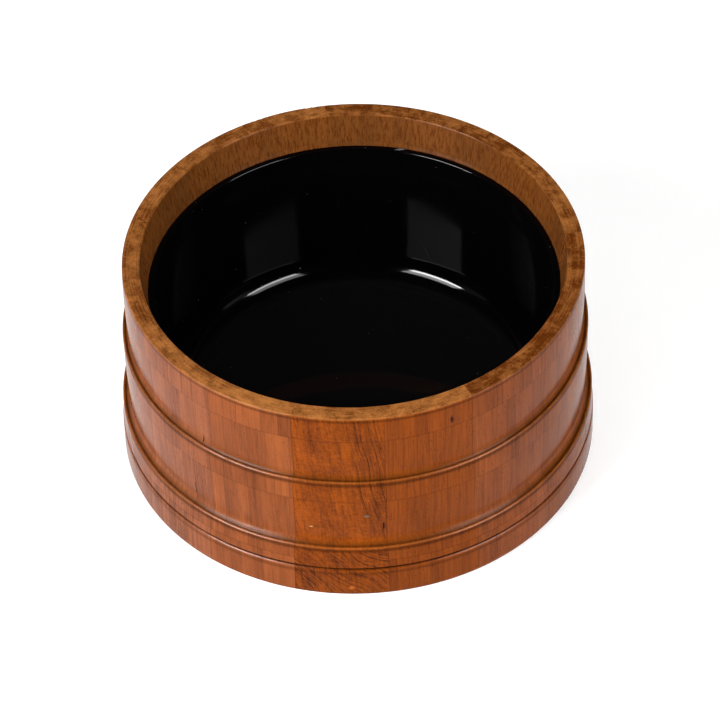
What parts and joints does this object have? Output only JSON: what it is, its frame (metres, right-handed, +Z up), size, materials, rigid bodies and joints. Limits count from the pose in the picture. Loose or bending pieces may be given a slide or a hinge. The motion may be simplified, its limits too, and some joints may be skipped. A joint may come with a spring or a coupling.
{
  "type": "chip and dip server",
  "caption": "Round staved wooden serving tub, turned in three tiers, with a loose glossy black moulded liner bowl for chips or dip.",
  "frame": {"origin": "on the table under the centre of the bowl", "axes": "+Z up, along the axis of the bowl; X and Y level, with -Y towards the front"},
  "size_m": [0.28, 0.28, 0.138],
  "materials": {
    "wood": "oiled satin, vertical grain with fine dark pores",
    "panel_wood": "plain, lightly oiled",
    "liner": "high gloss, lightly scratched"
  },
  "bodies": {
    "tub": {"stave_01": "wood", "stave_02": "wood", "stave_03": "wood", "stave_04": "wood", "stave_05": "wood", "stave_06": "wood", "stave_07": "wood", "stave_08": "wood", "stave_09": "wood", "stave_10": "wood", "stave_11": "wood", "stave_12": "wood", "stave_13": "wood", "stave_14": "wood", "stave_15": "wood", "stave_16": "wood", "base_board_1": "panel_wood", "base_board_2": "panel_wood", "base_board_3": "panel_wood", "base_board_4": "panel_wood"},
    "liner": {"liner": "liner"}
  },
  "joints": [
    {"name": "liner_lift", "type": "slide", "parent": "tub", "child": "liner", "axis": [0, 0, 1], "range_m": [0, 0.15]}
  ]
}
